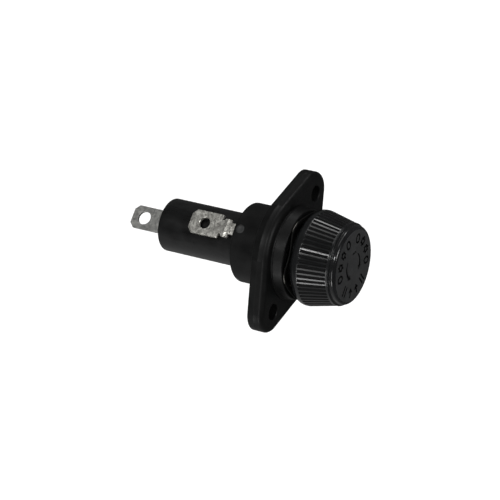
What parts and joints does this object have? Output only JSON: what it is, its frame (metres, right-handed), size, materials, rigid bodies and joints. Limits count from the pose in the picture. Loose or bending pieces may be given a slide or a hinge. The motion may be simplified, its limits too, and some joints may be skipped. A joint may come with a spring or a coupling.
{
  "type": "cartridge fuse holder",
  "caption": "Panel-mounted fuse holder with a two-hole diamond flange, fluted push-and-turn knob, barrel, side lug and rear blade, with a removable cartridge fuse.",
  "frame": {"origin": "centre of the flange's rear face, where it meets the panel, on the holder's axis", "axes": "+Y along the holder's axis to the rear terminals, -Y to the knob, +X along the flange's long axis, +Z towards the side terminal"},
  "size_m": [0.047, 0.07, 0.0308],
  "materials": {
    "housing_moulding": "glossy black moulded phenolic",
    "barrel_moulding": "satin black moulded phenolic",
    "knob_moulding": "satin black moulded phenolic, matte on its face",
    "stem_moulding": "satin black moulded phenolic",
    "plated_brass": "nickel-plated brass",
    "tinned_brass": "bright tin plate with a mottled grain",
    "tinned_brass_dull": "dull tin plate",
    "spring_steel": "bright spring steel",
    "dark_spring_steel": "blackened spring steel, bright on its crests",
    "clip_bronze": "phosphor bronze",
    "fuse_tube_fibre": "pale fibre tube",
    "fuse_cap_metal": "nickel-plated brass",
    "fuse_disc_fibre": "fibre",
    "fuse_link": "silvered copper",
    "quartz_filler": "packed quartz sand"
  },
  "bodies": {
    "housing": {"housing_body": "housing_moulding", "rear_barrel": "barrel_moulding", "bayonet_shell": "plated_brass", "side_terminal": "tinned_brass", "rear_terminal": "tinned_brass_dull", "rear_retainer": "spring_steel", "spring_seat": "plated_brass", "wave_spring": "dark_spring_steel"},
    "plunger": {"contact_plunger": "plated_brass", "contact_spring": "spring_steel"},
    "fuse": {"fuse_tube": "fuse_tube_fibre", "fuse_cap_front": "fuse_cap_metal", "fuse_cap_rear": "fuse_cap_metal", "fuse_disc_front": "fuse_disc_fibre", "fuse_disc_rear": "fuse_disc_fibre", "fuse_element": "fuse_link", "fuse_filler": "quartz_filler"},
    "clip": {"fuse_clip": "clip_bronze"},
    "knob": {"knob_cap": "knob_moulding", "knob_stem": "stem_moulding", "clip_rivet": "plated_brass"}
  },
  "joints": [
    {"name": "push", "type": "slide", "parent": "housing", "child": "plunger", "axis": [0, 1, 0], "range_m": [0, 0.0013], "stiffness_N_per_m": 2500, "deforming": ["contact_spring", "wave_spring"]},
    {"name": "withdraw", "type": "slide", "parent": "plunger", "child": "fuse", "axis": [0, -1, 0], "range_m": [0, 0.034]},
    {"name": "knob_pull", "type": "slide", "parent": "fuse", "child": "clip", "axis": [0, -1, 0], "range_m": [0, 0.023]},
    {"name": "turn", "type": "hinge", "parent": "clip", "child": "knob", "pos_m": [0, -0.016, 0], "axis": [0, 1, 0], "range_deg": [0, 60]}
  ]
}
